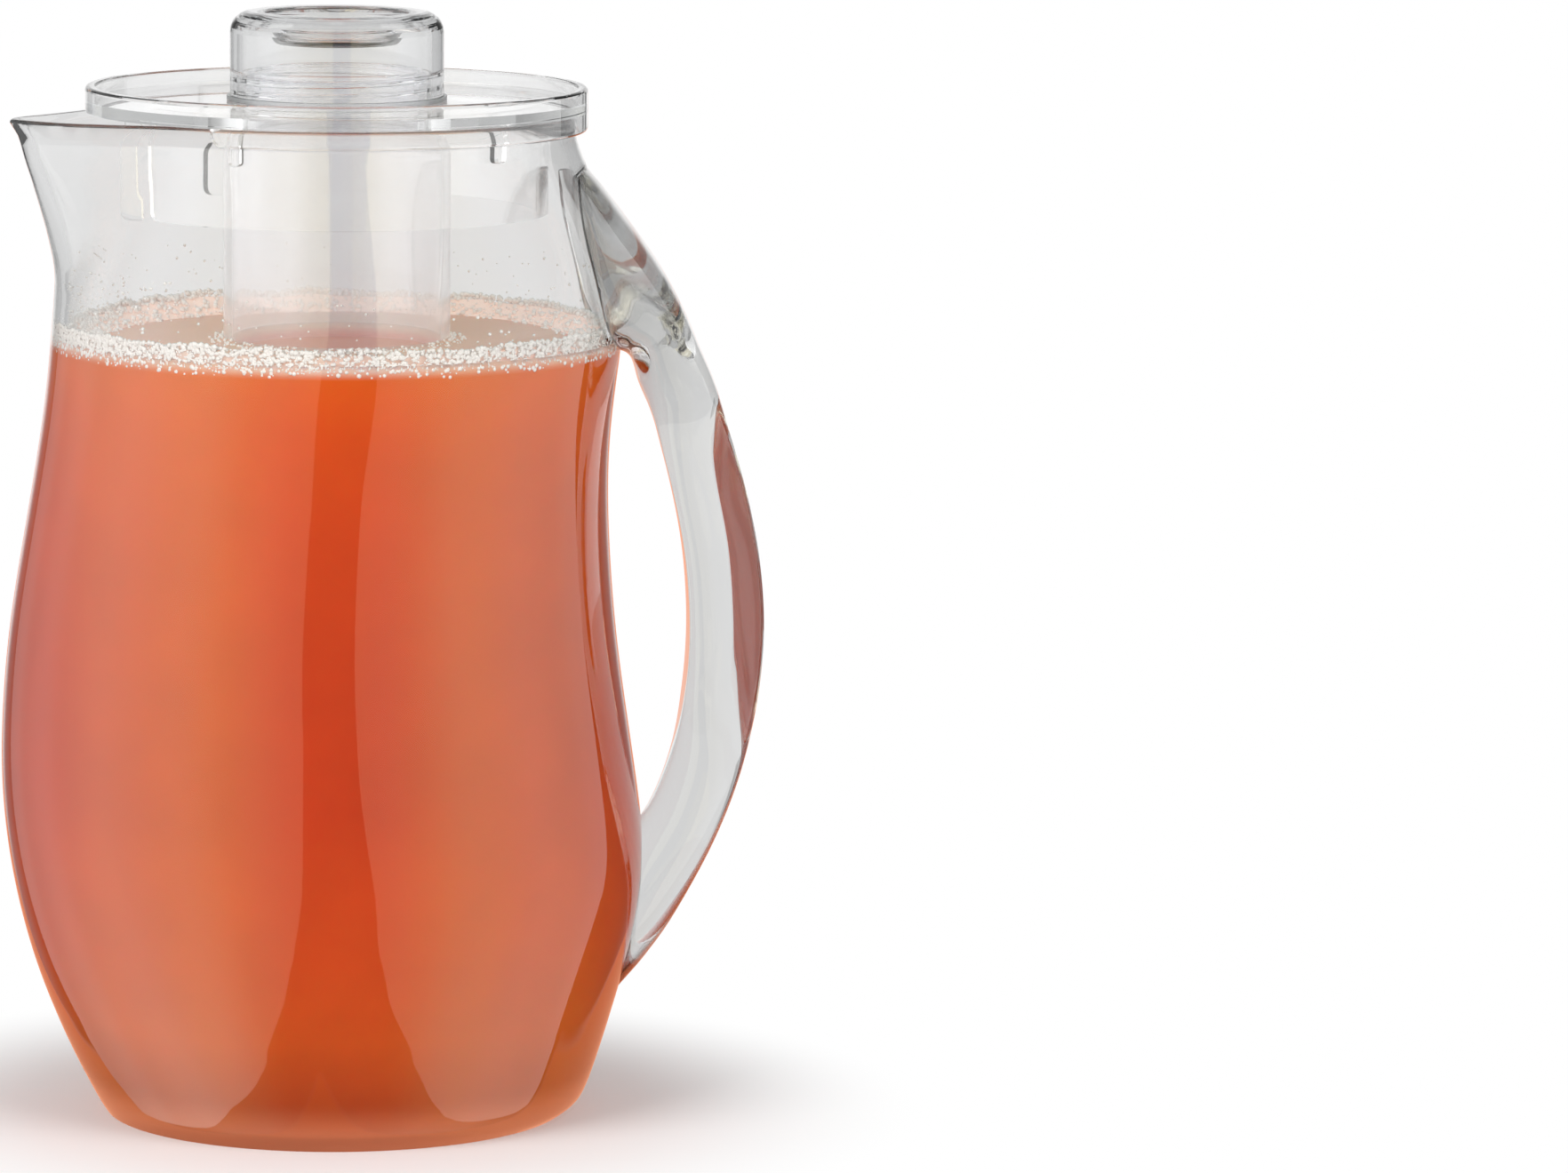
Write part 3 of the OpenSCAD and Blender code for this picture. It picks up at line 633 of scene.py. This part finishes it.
LAMP_SIDE, LAMP_BACK, LAMP_UP, LAMP_W, LAMP_H = 1.1, -1.25, 1.15, 1.0, 1.1
LAMP_TARGET = Vector((0, 0, 0.13))
for name, x, power in (("lamp_left", -LAMP_SIDE, 23.0), ("lamp_right", LAMP_SIDE, 16.5)):
    data = bpy.data.lights.new(name, "AREA")
    data.shape, data.size, data.size_y, data.energy = "RECTANGLE", LAMP_W, LAMP_H, power
    lamp = bpy.data.objects.new(name, data)
    scene.collection.objects.link(lamp)
    lamp.location = (x, LAMP_BACK, LAMP_UP)
    lamp.rotation_euler = (LAMP_TARGET - lamp.location).to_track_quat("-Z", "Y").to_euler()
    lamp.visible_camera = lamp.visible_glossy = lamp.visible_transmission = False

SCREEN_LIGHT, SCREEN_REACH, SCREEN_TOP, SCREEN_POINTS = 3.0, 1.7, 3.0, 160


def screen(name, edge, fall):
    """A curved white cloth round the object, which only mirrors and clear pieces show.

    edge gives azimuths and its lower edge's elevations in degrees. fall gives, by azimuth, its light and its
    warmth as shares."""
    rows = [(i, *at) for i, at in enumerate(edge)]
    curve = np.radians([smooth_rows(rows, u)[1:] for u in np.linspace(0, len(edge) - 1, SCREEN_POINTS)])
    x, y = SCREEN_REACH * np.sin(curve[:, 0]), -SCREEN_REACH * np.cos(curve[:, 0])
    low = SCREEN_REACH * np.tan(curve[:, 1])
    points = list(zip(x, y, low)) + list(zip(x, y, np.full(SCREEN_POINTS, SCREEN_TOP)))
    n = SCREEN_POINTS
    mesh = bpy.data.meshes.new(name)
    faces = [(i, i + 1, n + i + 1, n + i) for i in range(n - 1)]
    mesh.from_pydata([tuple(map(float, p)) for p in points], [], faces)
    made = bpy.data.objects.new(name, mesh)
    scene.collection.objects.link(made)
    cloth, tree, out = new_material(name)
    place = node(tree, "ShaderNodeTexCoord")
    spot = node(tree, "ShaderNodeSeparateXYZ", Vector=place.outputs["Object"])
    across = node(tree, "ShaderNodeMath", {"operation": "ABSOLUTE"}, i0=spot.outputs["X"])
    ahead = node(tree, "ShaderNodeMath", {"operation": "MULTIPLY"}, i0=spot.outputs["Y"], i1=-1.0)
    turned = node(tree, "ShaderNodeMath", {"operation": "ARCTAN2"}, i0=across.outputs[0], i1=ahead.outputs[0])
    share = node(tree, "ShaderNodeMath", {"operation": "DIVIDE"}, i0=turned.outputs[0], i1=math.pi)
    stops = [(degrees / 180, (light, light * (1 - 0.25 * warmth), light * (1 - warmth), 1))
             for degrees, light, warmth in fall]
    lit = node(tree, "ShaderNodeValToRGB", stops=stops, blend="EASE", Fac=share.outputs[0])
    glow = node(tree, "ShaderNodeEmission", Color=lit.outputs["Color"], Strength=SCREEN_LIGHT)
    tree.links.new(glow.outputs[0], out.inputs["Surface"])
    mesh.materials.append(cloth)
    made.visible_camera = made.visible_diffuse = made.visible_shadow = False


screen("screen_left",
       [(-4, 6), (-6, -2), (-9, -15), (-12.5, -26), (-16, -34), (-24, -43.2), (-44, -51.5), (-77, -53),
        (-99.6, -50.4), (-122.6, -39.3), (-133.5, -31), (-139, -23), (-144, -15), (-147, -7), (-148.5, 4)],
       [(3, 0.45, 0.35), (28, 0.52, 0.25), (55, 0.72, 0.1), (80, 0.75, 0), (110, 0.5, 0), (135, 0.25, 0),
        (150, 0.16, 0)])
screen("screen_right",
       [(15, 4), (17, -10), (18, -25), (21, -33), (27.5, -41.1), (44, -46.6), (62, -49), (80, -48),
        (99.8, -41.5), (110, -35), (114, -27), (116, -16), (119, -8), (123, 4)],
       [(12, 0.45, 0.35), (30, 0.48, 0.25), (60, 0.62, 0.1), (80, 0.6, 0), (110, 0.45, 0), (120, 0.4, 0)])


# The camera: 2.05 m in front of the pitcher and 0.43 m up, looking a little down, as fitted to the
# photograph's outline.

SENSOR_W, IMAGE_W, FOCAL_PIXELS = 36.0, 1764, 9270
LOOK_DOWN, ROLL, TURN = 8.30, -0.48, -3.07
camera_data = bpy.data.cameras.new("camera")
camera_data.sensor_width = SENSOR_W
camera_data.lens = FOCAL_PIXELS / IMAGE_W * SENSOR_W
camera_data.clip_end = 60
camera = bpy.data.objects.new("camera", camera_data)
scene.collection.objects.link(camera)
camera.location = (0, -2.050, 0.432)
camera.rotation_euler = (math.radians(90 - LOOK_DOWN), math.radians(ROLL), math.radians(TURN))
scene.camera = camera

scene.view_settings.view_transform = "Standard"
scene.cycles.max_bounces = 32
scene.cycles.transmission_bounces = 28
scene.cycles.glossy_bounces = 10
scene.cycles.transparent_max_bounces = 32
scene.cycles.caustics_refractive = scene.cycles.caustics_reflective = False
